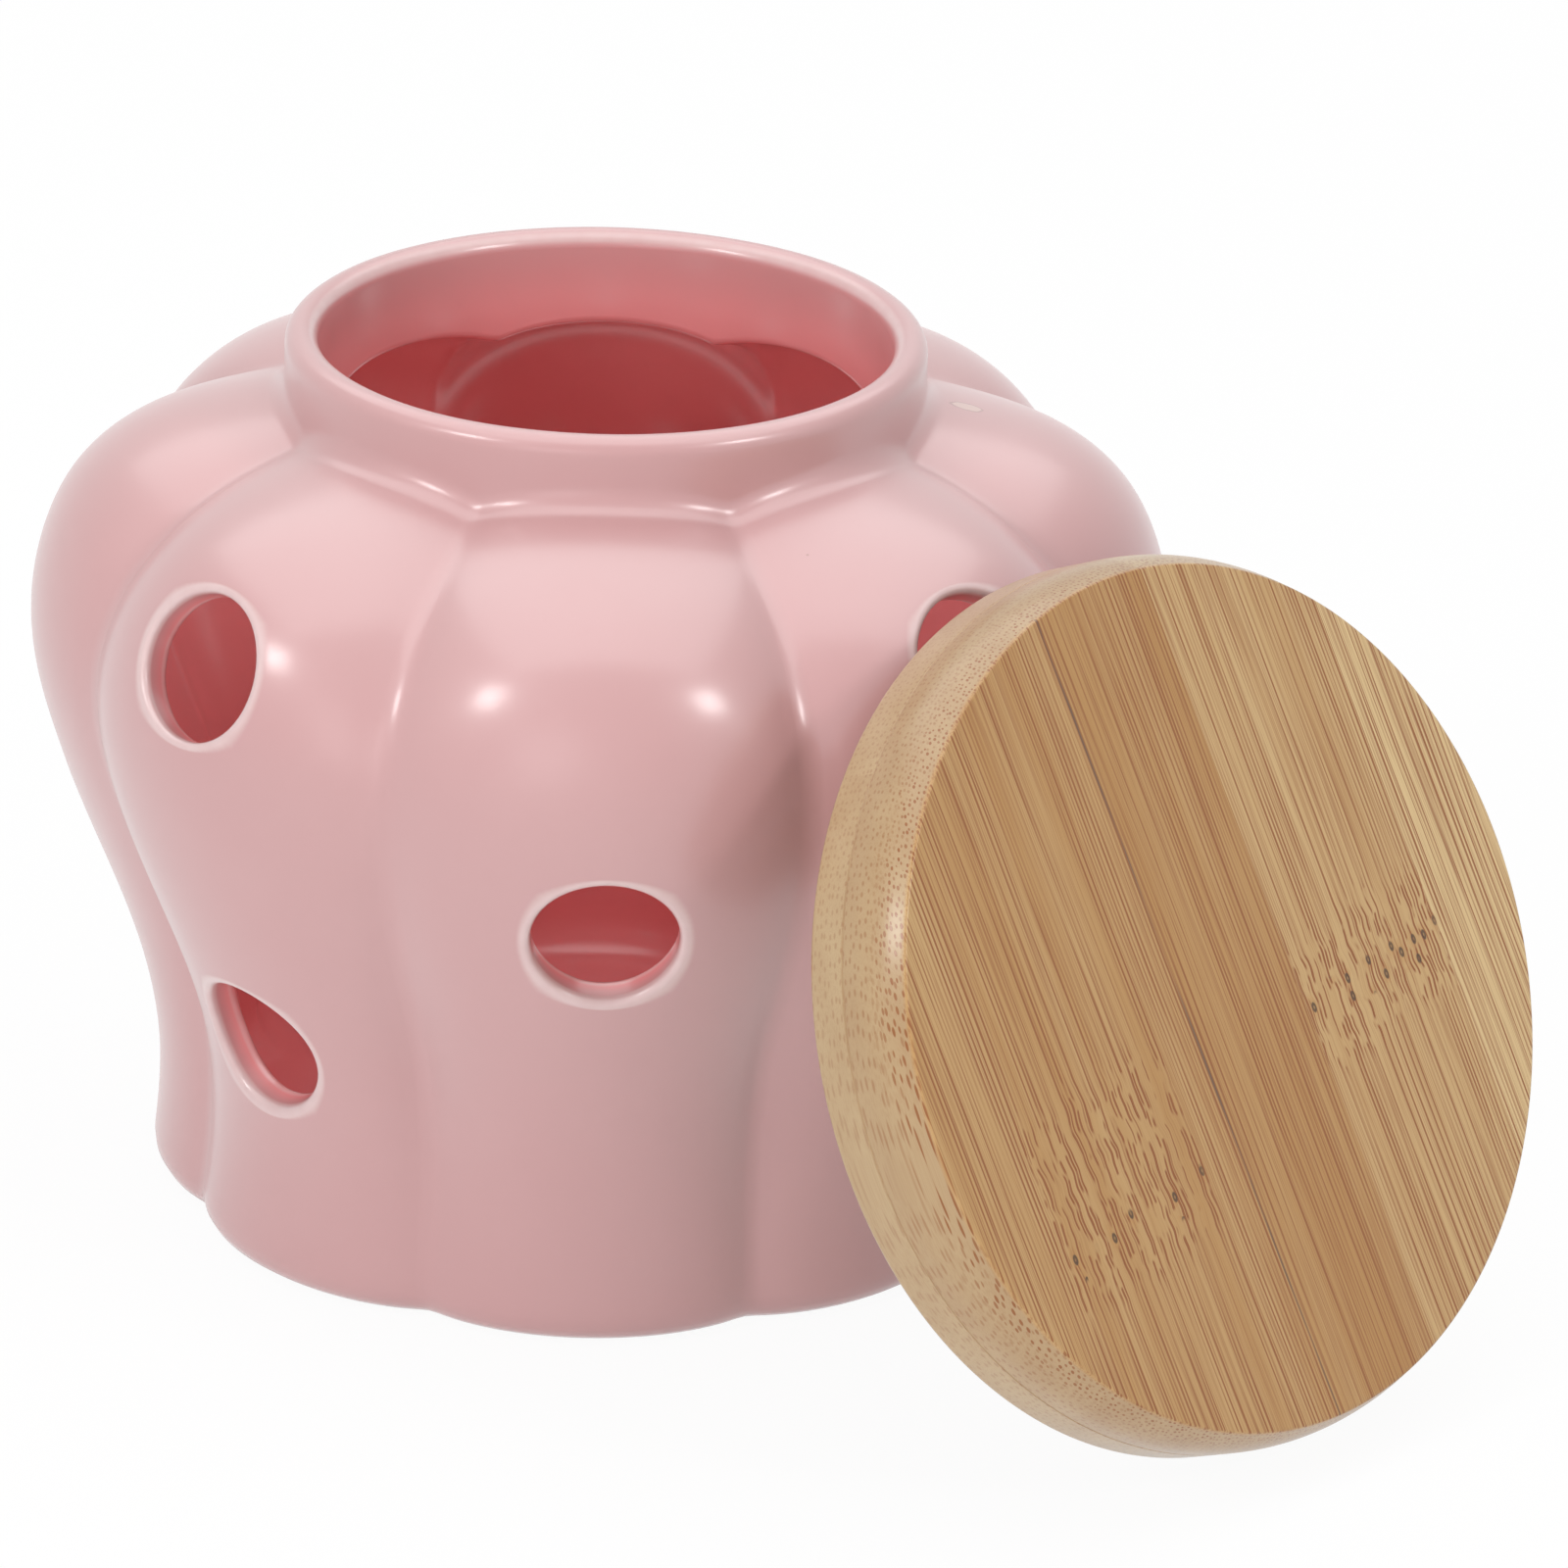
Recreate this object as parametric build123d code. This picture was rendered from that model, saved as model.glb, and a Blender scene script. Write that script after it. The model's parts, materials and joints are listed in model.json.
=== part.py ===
from build123d import *
import os
from math import cos, hypot, radians, sin, sqrt

# A vented keeper for garlic bulbs: a lobed slip-cast ceramic jar, and its
# turned bamboo lid, which stands on its edge and leans on one of the lobes.
# The origin is at the centre of the foot, +Z is up, and the front lobe faces -Y.
# Turns are counted in degrees from the front lobe towards +X.

# Jar, outside
BELLY_RADIUS = 65.0
JAR_HEIGHT = 102.8
NECK_RISE = 4.8
MOUTH_RADIUS = 32.5
LIP_RADIUS = 1.9
NECK_FILLET = 3.0
FOOT_FILLET = 3.0
LOBES = 8
GROOVE_SOFT_SHARE = 0.16

# Ridge line from the foot to where the dome would close inside the neck: heights as
# shares of the dome's height, radii as shares of the belly's radius, and how deep
# the grooves are beside each place, as shares of the ridge's radius there
HEIGHT_SHARES = (0, 0.143, 0.306, 0.449, 0.582, 0.694, 0.786, 0.857, 0.918, 0.959, 0.99)
RIDGE_SHARES = (0.79, 0.776, 0.822, 0.903, 0.972, 1.0, 0.98, 0.928, 0.82, 0.634, 0.4)
GROOVE_SHARES = (0.051, 0.064, 0.09, 0.078, 0.062, 0.064, 0.084, 0.12, 0.165, 0.19, 0.2)
BELLY_HEIGHT_SHARE = 0.694

# Jar, inside and underneath
WALL = 4.0
FLOOR = 5.0
FLOOR_CORNER = 5.0
FOOT_RING = 6.0
FOOT_RECESS = 1.2

# Vents: single ones on the front, back and side lobes, pairs on the lobes between,
# cut by hand, so a few are off their ridge; heights are shares of the dome's height
VENT_RADIUS = 8.2
VENT_EDGE = 0.9
VENT_TURNS = (1.1, 45, 43, 90, 135, 135, 180, 225, 225, 270, 315, 315)
VENT_SHARES = (0.549, 0.307, 0.831, 0.557, 0.307, 0.805, 0.557, 0.307, 0.805, 0.557, 0.307, 0.805)

# Lid: two plies of bamboo strips, and a third ply turned down to a plug
LID_RADIUS = 49.3
EDGE_INSET = 2.0
EDGE_DROP = 6.6
LID_THICKNESS = 13.4
TOP_PLY = 8.0
LID_ARRIS = 0.8
GRAIN_TURN = 7.0
TOP_JOINT_SHARES = (-0.75, -0.14, 0.21, 0.68)
UNDER_STRIPS = 5
PLUG_STRIPS = 3
PLUG_DEPTH = 4.0
PLUG_ARRIS = 0.5
PLUG_CLEARANCE = 1.4

# Seal: a soft ring with a round bead, in a groove round the plug
SEAL_GROOVE_DEPTH = 1.6
SEAL_GROOVE_WIDTH = 2.0
SEAL_SEAT_CLEARANCE = 0.05
SEAL_MOUTH_CLEARANCE = 0.2

# Where the lid stands
LEAN_TURN = 45.0
LEAN_BACK_TURN = 24.65
LEAN_SIDE_SHIFT = 4.0
LEAN_CLEARANCE = 0.3

# How finely the curves are followed, and how far cuts run past a face
POINTS_PER_LOBE = 6
LINE_STEPS = 160
LEAN_STEPS = 12
OUTSIDE_STEPS = 18
INSIDE_STEPS = 16
HALVINGS = 40
OVERRUN = 5.0

# Sizes that follow from those above
UP = Vector(0, 0, 1)
LOBE_TURN = 360 / LOBES
DOME_HEIGHT = JAR_HEIGHT - NECK_RISE
NECK_RADIUS = MOUTH_RADIUS + 2 * LIP_RADIUS
NECK_TOP = JAR_HEIGHT - LIP_RADIUS
NECK_FOOT = (DOME_HEIGHT + NECK_TOP) / 2
BELLY_HEIGHT = BELLY_HEIGHT_SHARE * DOME_HEIGHT
FACE_RADIUS = LID_RADIUS - EDGE_INSET
PLUG_RADIUS = MOUTH_RADIUS - PLUG_CLEARANCE
PLUG_BACK = LID_THICKNESS + PLUG_DEPTH
SEAL_RADIUS = MOUTH_RADIUS - SEAL_MOUTH_CLEARANCE
SEAL_PLACE = LID_THICKNESS + PLUG_DEPTH / 2
SEAL_SEAT_RADIUS = PLUG_RADIUS - SEAL_GROOVE_DEPTH


def trace(shares):
    """A smooth line through shares of the belly's radius, as pairs of radius and height."""
    places = zip(shares, HEIGHT_SHARES)
    line = Spline(*[(BELLY_RADIUS * out, 0, DOME_HEIGHT * up) for out, up in places])
    points = [line @ (step / LINE_STEPS) for step in range(LINE_STEPS + 1)]
    return [(point.X, point.Z) for point in points]


RIDGE_LINE = trace(RIDGE_SHARES)
GROOVE_LINE = trace([out * (1 - depth) for out, depth in zip(RIDGE_SHARES, GROOVE_SHARES)])


def radius_at(line, height):
    """The radius of a traced line at a height."""
    for (low_out, low), (high_out, high) in zip(line, line[1:]):
        if height <= high:
            break
    return low_out + (high_out - low_out) * (height - low) / (high - low)


def inner_radius_at(line, height):
    """The radius, at a height, of the line one wall's thickness inside a traced line."""
    reach = [(out, WALL**2 - (height - up) ** 2) for out, up in line]
    return min(out - sqrt(square) for out, square in reach if square > 0)


def scallop(turn):
    """How far from a groove to a ridge a turn lies: 0 in the groove and 1 on the ridge."""
    soft = GROOVE_SOFT_SHARE
    swell = sqrt(cos(LOBES * radians(turn) / 2) ** 2 + soft**2)
    return (swell - soft) / (sqrt(1 + soft**2) - soft)


def around(turn):
    """The level direction from the jar's axis at a turn."""
    return Vector(sin(radians(turn)), -cos(radians(turn)), 0)


def section(ridge, groove, height):
    """A lobed outline between a ridge's and a groove's radius, at a height."""
    lobes = []
    for lobe in range(LOBES):
        turns = [(lobe + step / POINTS_PER_LOBE - 0.5) * LOBE_TURN for step in range(POINTS_PER_LOBE + 1)]
        radii = [groove + (ridge - groove) * scallop(turn) for turn in turns]
        points = [around(turn) * radius + UP * height for turn, radius in zip(turns, radii)]
        lobes.append(Spline(*points, tangents=[around(turn + 90) for turn in (turns[0], turns[-1])]))
    return Face(Wire(lobes))


def even_heights(line, count):
    """Heights that cut a traced line into equal lengths, from its foot to its top."""
    path = Polyline(*[(out, 0, up) for out, up in line])
    return [(path @ (step / count)).Z for step in range(count + 1)]


def curved(edges):
    """The edges that aren't straight."""
    return [edge for edge in edges if edge.geom_type != GeomType.LINE]


def make_outside():
    """The lobed wall from the foot to the neck, filled, with the recess in its foot."""
    sections = []
    for up in even_heights(RIDGE_LINE, OUTSIDE_STEPS):
        sections.append(section(radius_at(RIDGE_LINE, up), radius_at(GROOVE_LINE, up), up))
    dome = loft(sections)
    dome = fillet(dome.faces().sort_by(Axis.Z)[0].edges(), FOOT_FILLET)
    inset = FOOT_FILLET + FOOT_RING
    recess = section(radius_at(RIDGE_LINE, 0) - inset, radius_at(GROOVE_LINE, 0) - inset, 0)
    dome -= extrude(recess, FOOT_RECESS, dir=UP)
    neck = extrude(Pos(Z=BELLY_HEIGHT) * Circle(NECK_RADIUS), NECK_FOOT - BELLY_HEIGHT)
    filled = dome + neck
    return fillet(curved(new_edges(dome, neck, combined=filled)), NECK_FILLET)


def make_cavity():
    """The space inside the lobed wall, which the bore of the neck opens at the top."""
    top = RIDGE_LINE[-1][1] - WALL
    heights = [FLOOR + (top - FLOOR) * step / LINE_STEPS for step in range(LINE_STEPS + 1)]
    line = [(inner_radius_at(RIDGE_LINE, up), up) for up in heights]
    sections = []
    for up in even_heights(line, INSIDE_STEPS):
        sections.append(section(inner_radius_at(RIDGE_LINE, up), inner_radius_at(GROOVE_LINE, up), up))
    space = loft(sections)
    space = fillet(space.faces().sort_by(Axis.Z)[0].edges(), FLOOR_CORNER)
    return space + extrude(Pos(Z=BELLY_HEIGHT) * Circle(MOUTH_RADIUS), NECK_FOOT - BELLY_HEIGHT)


def make_neck():
    """The round neck with its fully rounded lip, as a ring on top of the lobed wall."""
    inside = Line((MOUTH_RADIUS, NECK_TOP), (MOUTH_RADIUS, NECK_FOOT))
    wall = Polyline(inside @ 0, inside @ 1, (NECK_RADIUS, NECK_FOOT), (NECK_RADIUS, NECK_TOP))
    lip = ThreePointArc(wall @ 1, (MOUTH_RADIUS + LIP_RADIUS, JAR_HEIGHT), wall @ 0)
    return revolve(Plane.XZ * make_face(wall + lip), Axis.Z)


def vent_planes():
    """Where the vents are, each square to the slope of a ridge at its height."""
    planes = []
    for turn, share in zip(VENT_TURNS, VENT_SHARES):
        height = DOME_HEIGHT * share
        low, high = height - VENT_RADIUS, height + VENT_RADIUS
        slope = (radius_at(RIDGE_LINE, high) - radius_at(RIDGE_LINE, low)) / (high - low)
        centre = around(turn) * radius_at(RIDGE_LINE, height) + UP * height
        planes.append(Plane(centre, x_dir=around(turn + 90), z_dir=around(turn) - UP * slope))
    return planes


def make_jar():
    """The jar: one ceramic wall with its foot, neck and vents."""
    jar = make_outside() - make_cavity() + make_neck()
    vents = [plane * Cylinder(VENT_RADIUS, 2 * (WALL + OVERRUN)) for plane in vent_planes()]
    pierced = jar - vents
    return fillet(curved(new_edges(jar, *vents, combined=pierced)), VENT_EDGE)


def lobe_places():
    """Places all over the outside of the lobe that the lid leans on, except where a vent is."""
    vents = vent_planes()
    places = []
    for ridge, height in RIDGE_LINE:
        groove = radius_at(GROOVE_LINE, height)
        for step in range(-LEAN_STEPS, LEAN_STEPS + 1):
            turn = LEAN_TURN + step / LEAN_STEPS * LOBE_TURN / 2
            place = around(turn) * (groove + (ridge - groove) * scallop(turn)) + UP * height
            local = [vent.to_local_coords(place) for vent in vents]
            if all(hypot(spot.X, spot.Y) > VENT_RADIUS or abs(spot.Z) > WALL for spot in local):
                places.append(place)
    return places


def lean():
    """Where the lid stands: its face's centre, with its edge on the ground and its back on a lobe."""
    across, aside = around(LEAN_TURN), around(LEAN_TURN + 90)
    sway, rise = sin(radians(LEAN_BACK_TURN)), cos(radians(LEAN_BACK_TURN))
    normal, upwards = across * rise + UP * sway, UP * rise - across * sway
    centre_height = (LID_RADIUS - LID_ARRIS) * rise + (LID_THICKNESS - LID_ARRIS) * sway + LID_ARRIS
    foot = aside * LEAN_SIDE_SHIFT + UP * centre_height
    seal_back = SEAL_PLACE + SEAL_GROOVE_WIDTH / 2
    steps = ((LID_RADIUS, LID_THICKNESS), (SEAL_RADIUS, seal_back), (PLUG_RADIUS, PLUG_BACK))
    offsets = [place - foot for place in lobe_places()]
    spots = [(spot.dot(aside), spot.dot(upwards), spot.dot(normal)) for spot in offsets]

    def room(out):
        """The least room behind the lid with its centre that far from the jar's axis."""
        gaps = []
        for side, up, ahead in spots:
            far = hypot(side, up + out * sway)
            gaps += [out * rise - ahead - back for radius, back in steps if far < radius]
        return min(gaps)

    near, far = BELLY_RADIUS, BELLY_RADIUS + 2 * LID_RADIUS
    for _ in range(HALVINGS):
        middle = (near + far) / 2
        near, far = (near, middle) if room(middle) > LEAN_CLEARANCE else (middle, far)
    return Plane(across * far + foot, x_dir=aside, z_dir=normal)


def make_flange():
    """The lid's broad disc: a flat face, a rounded side and a broken lower edge, face up at the origin."""
    side = TangentArc((LID_RADIUS, -EDGE_DROP), (FACE_RADIUS, 0), tangent=(0, 1))
    arris_top = LID_ARRIS - LID_THICKNESS
    arris = TangentArc((LID_RADIUS, arris_top), (LID_RADIUS - LID_ARRIS, -LID_THICKNESS), tangent=(0, -1))
    rest = Polyline(arris @ 1, (0, -LID_THICKNESS), (0, 0), side @ 1)
    return revolve(Plane.XZ * make_face(side + Line(side @ 0, arris @ 0) + arris + rest), Axis.Z)


def make_plug():
    """The disc under the lid that goes into the mouth, with the seal's groove round it."""
    blank = Pos(Z=-LID_THICKNESS - PLUG_DEPTH / 2) * Cylinder(PLUG_RADIUS, PLUG_DEPTH)
    blank = chamfer(blank.edges().group_by(Axis.Z)[0], PLUG_ARRIS)
    outside = Cylinder(PLUG_RADIUS + OVERRUN, SEAL_GROOVE_WIDTH)
    return blank - Pos(Z=-SEAL_PLACE) * (outside - Cylinder(SEAL_SEAT_RADIUS, SEAL_GROOVE_WIDTH))


def make_seal():
    """The seal ring: a flat band in the groove, with a round bead outside the plug."""
    half = SEAL_GROOVE_WIDTH / 2 - SEAL_SEAT_CLEARANCE
    inside = SEAL_SEAT_RADIUS + SEAL_SEAT_CLEARANCE
    band = Polyline((PLUG_RADIUS, half), (inside, half), (inside, -half), (PLUG_RADIUS, -half))
    bead = ThreePointArc(band @ 1, (SEAL_RADIUS, 0), band @ 0)
    return Pos(Z=-SEAL_PLACE) * revolve(Plane.XZ * make_face(band + bead), Axis.Z)


def rip(blank, joints, top, bottom):
    """The strips of one ply of a blank, between the joints and the ply's two depths."""
    reach = LID_RADIUS + OVERRUN
    edges = [-reach, *joints, reach]
    strips = []
    for left, right in zip(edges, edges[1:]):
        saw = Pos((left + right) / 2, 0, -(top + bottom) / 2) * Box(right - left, 2 * reach, bottom - top)
        strips.append(blank & saw)
    return strips


def even_joints(radius, count):
    """The joints between equal strips across a disc."""
    return [radius * (2 * joint / count - 1) for joint in range(1, count)]


def make_lid():
    """The lid's strips and seal by name, face up at the origin, with the grain along Y."""
    flange = make_flange()
    top_joints = [LID_RADIUS * share for share in TOP_JOINT_SHARES]
    under_joints = even_joints(LID_RADIUS, UNDER_STRIPS)
    plies = {
        "lid_top_strip": rip(flange, top_joints, 0, TOP_PLY),
        "lid_under_strip": rip(flange, under_joints, TOP_PLY, LID_THICKNESS),
        "lid_plug_strip": rip(make_plug(), even_joints(PLUG_RADIUS, PLUG_STRIPS), LID_THICKNESS, PLUG_BACK),
    }
    pieces = {"seal_ring": make_seal()}
    for ply, strips in plies.items():
        for number, strip in enumerate(strips, 1):
            pieces[f"{ply}_{number}"] = strip
    return pieces


place = lean() * Rot(Z=GRAIN_TURN)
nodes = {"jar_body": make_jar()}
for name, piece in make_lid().items():
    nodes[name] = place * piece

os.makedirs("parts", exist_ok=True)
for name, piece in nodes.items():
    export_step(piece, f"parts/{name}.step")
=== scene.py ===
import json
from math import atan2, cos, pi, radians, sin

import bmesh
import bpy
import numpy as np
from bpy.props import FloatProperty, FloatVectorProperty, IntProperty, PointerProperty
from mathutils import Matrix, Vector


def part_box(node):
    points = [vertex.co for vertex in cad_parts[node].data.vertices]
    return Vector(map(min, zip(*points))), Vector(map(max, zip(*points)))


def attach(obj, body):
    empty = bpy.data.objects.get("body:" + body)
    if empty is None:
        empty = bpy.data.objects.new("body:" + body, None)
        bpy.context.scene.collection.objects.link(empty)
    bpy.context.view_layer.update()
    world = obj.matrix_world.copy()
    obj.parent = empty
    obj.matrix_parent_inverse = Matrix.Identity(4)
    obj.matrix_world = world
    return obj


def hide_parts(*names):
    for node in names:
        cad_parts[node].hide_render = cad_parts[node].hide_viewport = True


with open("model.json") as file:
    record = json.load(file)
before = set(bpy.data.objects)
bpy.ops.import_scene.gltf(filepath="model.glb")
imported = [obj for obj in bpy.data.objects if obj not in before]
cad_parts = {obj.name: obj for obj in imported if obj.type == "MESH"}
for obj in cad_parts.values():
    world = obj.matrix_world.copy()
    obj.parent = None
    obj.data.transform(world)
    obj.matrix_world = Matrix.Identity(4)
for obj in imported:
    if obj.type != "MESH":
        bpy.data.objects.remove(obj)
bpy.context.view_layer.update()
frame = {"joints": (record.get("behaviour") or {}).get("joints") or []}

bl_info = {
    "name": "Vented Storage Jar",
    "version": (1, 0, 0),
    "blender": (4, 5, 0),
    "location": "View3D > Sidebar > Storage Jar",
    "description": "Builds a lobed ceramic jar with round vents, its bamboo lid and the lid's seal",
    "category": "Object",
}

JAR_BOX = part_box("jar_body")
SEAL_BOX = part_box("seal_ring")
MM = 0.001

# The jar's ridge line: heights as shares of the dome's height, radii as shares of the belly's
# radius, and the depth of the grooves beside each place as shares of the ridge's radius there.
HEIGHT_SHARES = np.array((0, 0.143, 0.306, 0.449, 0.582, 0.694, 0.786, 0.857, 0.918, 0.959, 0.99))
RIDGE_SHARES = np.array((0.79, 0.776, 0.822, 0.903, 0.972, 1.0, 0.98, 0.928, 0.82, 0.634, 0.4))
GROOVE_SHARES = np.array((0.051, 0.064, 0.09, 0.078, 0.062, 0.064, 0.084, 0.12, 0.165, 0.19, 0.2))

# Vents: one on every other lobe, two on the lobes between, cut by hand, so a few are off their
# ridge. Turns are in degrees from the front lobe, heights are shares of the dome's height.
VENT_TURNS = (1.1, 45, 43, 90, 135, 135, 180, 225, 225, 270, 315, 315)
VENT_SHARES = (0.549, 0.307, 0.831, 0.557, 0.307, 0.805, 0.557, 0.307, 0.805, 0.557, 0.307, 0.805)

# A scuff in the glaze on the right shoulder: its middle, and half its length, width and height.
SCUFF_PLACE = (40.8 * MM, 0.4 * MM, 94.1 * MM)
SCUFF_SIZE = (2.0 * MM, 1.1 * MM, 2.0 * MM)

# The wall's mesh: columns over one lobe, and rows over each stretch of the wall, from the axis
# under the foot, or on the floor, up to the top of the lip. Each row has FINE steps of its lines.
LOBE_COLUMNS = 32
ROWS = {"bottom": 12, "corner": 9, "wall": 84, "shoulder": 8, "neck": 6, "lip": 6}
FINE = 8
LINE_POINTS = 4000

# Round a vent a square block of the mesh's cells gives way to rings: some that blend into the
# block's border, some round the edge, and some through the wall.
VENT_CELLS = 18
VENT_BLEND_RINGS = 4
VENT_EDGE_RINGS = 5
VENT_TUNNEL_RINGS = 3
SOLVER_STEPS = 6

# Where over the lip the glaze runs thinnest, and how far about that, as shares of the lip's rows.
LIP_THIN_SHARE = 0.55
LIP_THIN_SPREAD = 0.4

# The top ply's joints between strips, as shares of the lid's radius, and the one whose glue shows.
TOP_JOINT_SHARES = (-0.75, -0.14, 0.21, 0.68)
GLUE_LINE = 1
UNDER_STRIPS = 5
PLUG_STRIPS = 3

# How brown the strips of each ply are, from 0, pale, to 1, and how far their grain is shifted.
PLY_TONES = {
    "top": (0.7, 0.8, 0.92, 0.5, 0.0),
    "under": (0.45, 0.35, 0.55, 0.4, 0.3),
    "plug": (0.45, 0.35, 0.5),
}
PLY_SHIFTS = {"top": 95.1, "under": 158.5, "plug": 126.8}
STRIP_SHIFT = 7.3

# The lid's and the seal's meshes: steps round them, points on the bead, and what stays a sharp edge.
LID_SEGMENTS = 288
SEAL_SEGMENTS = 144
BEAD_POINTS = 13
SHARP_EDGE = radians(32)

# Nodes of the bamboo on the lid's face, in millimetres from its centre: how far each reaches across
# the grain, the line of its pits, and how far along the grain the fibres are broken.
NODE_MARKS = ((-37.1, -12.0, -16.4, -24.0, 3.0), (9.5, 34.5, -6.4, -15.5, 4.0))

# The lamps: where each stands and how wide it is, in metres, and its power in watts.
LAMPS = {
    "left_softbox": ((-0.92, -0.7, 0.82), 0.26, 3.2),
    "right_softbox": ((0.92, -0.7, 0.82), 0.26, 3.2),
    "top_softbox": ((0.0, 0.3, 1.45), 2.4, 24.0),
    "front_softbox": ((-0.45, -1.35, 0.32), 0.6, 7.4),
}
LAMP_AIM = (0.02, -0.02, 0.06)
FLOOR_REACH = 6.0
SENSOR_WIDTH = 36.0


class JarSettings(bpy.types.PropertyGroup):
    """Sizes and colours of the ceramic jar."""

    belly_radius: FloatProperty(
        name="Belly Radius", description="Radius of the ridges at the belly",
        default=(JAR_BOX[1].x - JAR_BOX[0].x) / 2, unit="LENGTH",
    )
    height: FloatProperty(
        name="Height", description="From the ground to the top of the lip",
        default=JAR_BOX[1].z, unit="LENGTH",
    )
    dome_height: FloatProperty(
        name="Dome Height", description="Where the ridges would meet over the mouth",
        default=98.0 * MM, unit="LENGTH",
    )
    mouth_radius: FloatProperty(
        name="Mouth Radius", description="Inside radius of the neck", default=32.5 * MM, unit="LENGTH"
    )
    lip_radius: FloatProperty(
        name="Lip Radius", description="Rounding of the lip", default=1.9 * MM, unit="LENGTH"
    )
    neck_fillet: FloatProperty(
        name="Neck Fillet", description="Rounding between the neck and the lobes",
        default=3.0 * MM, unit="LENGTH",
    )
    mouth_edge: FloatProperty(
        name="Mouth Edge", description="Rounding of the scalloped edge inside the neck",
        default=1.2 * MM, unit="LENGTH",
    )
    foot_fillet: FloatProperty(
        name="Foot Fillet", description="Rounding of the foot's outer edge", default=3.0 * MM, unit="LENGTH"
    )
    foot_ring: FloatProperty(
        name="Foot Ring", description="Width of the ring that the jar stands on",
        default=6.0 * MM, unit="LENGTH",
    )
    foot_recess: FloatProperty(
        name="Foot Recess", description="Depth of the hollow inside the foot ring",
        default=1.2 * MM, unit="LENGTH",
    )
    wall: FloatProperty(name="Wall", description="Thickness of the wall", default=4.0 * MM, unit="LENGTH")
    floor: FloatProperty(
        name="Floor", description="Height of the inside floor",
        default=5.0 * MM, unit="LENGTH",
    )
    floor_corner: FloatProperty(
        name="Floor Corner", description="Rounding between the floor and the wall",
        default=5.0 * MM, unit="LENGTH",
    )
    lobes: IntProperty(name="Lobes", description="Number of lobes round the wall", default=8, min=2)
    groove_softness: FloatProperty(
        name="Groove Softness", description="How rounded the grooves are", default=0.1, subtype="FACTOR"
    )
    lobe_power: FloatProperty(
        name="Lobe Power", description="Power of the wave round the wall: less of it makes flatter lobes",
        default=0.5, subtype="FACTOR",
    )
    vent_radius: FloatProperty(
        name="Vent Radius", description="Radius of the round vents", default=8.2 * MM, unit="LENGTH"
    )
    vent_edge: FloatProperty(
        name="Vent Edge", description="Rounding of the vents' edges", default=0.9 * MM, unit="LENGTH"
    )
    unevenness: FloatProperty(
        name="Unevenness", description="How far the cast wall wanders from its rule",
        default=0.25 * MM, unit="LENGTH",
    )
    glaze: FloatVectorProperty(
        name="Glaze", description="Colour of the glaze", default=(0.54, 0.3, 0.3), subtype="COLOR", size=3
    )
    # The inside colour is the glaze painted redder and far brighter: painted light that stands in for light
    # bouncing inside the jar.
    inner_glaze_painted_bounce: FloatVectorProperty(
        name="Inner Glaze", description="Colour of the thicker glaze inside", default=(0.94, 0.35, 0.355),
        subtype="COLOR", size=3,
    )
    thin_glaze: FloatVectorProperty(
        name="Thin Glaze", description="Colour where the glaze runs thin over an edge",
        default=(0.86, 0.78, 0.76), subtype="COLOR", size=3,
    )
    bare_clay: FloatVectorProperty(
        name="Bare Clay", description="Colour of the unglazed foot ring", default=(0.78, 0.71, 0.62),
        subtype="COLOR", size=3,
    )
    roughness: FloatProperty(
        name="Roughness", description="Roughness of the satin glaze", default=0.23, subtype="FACTOR"
    )


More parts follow.
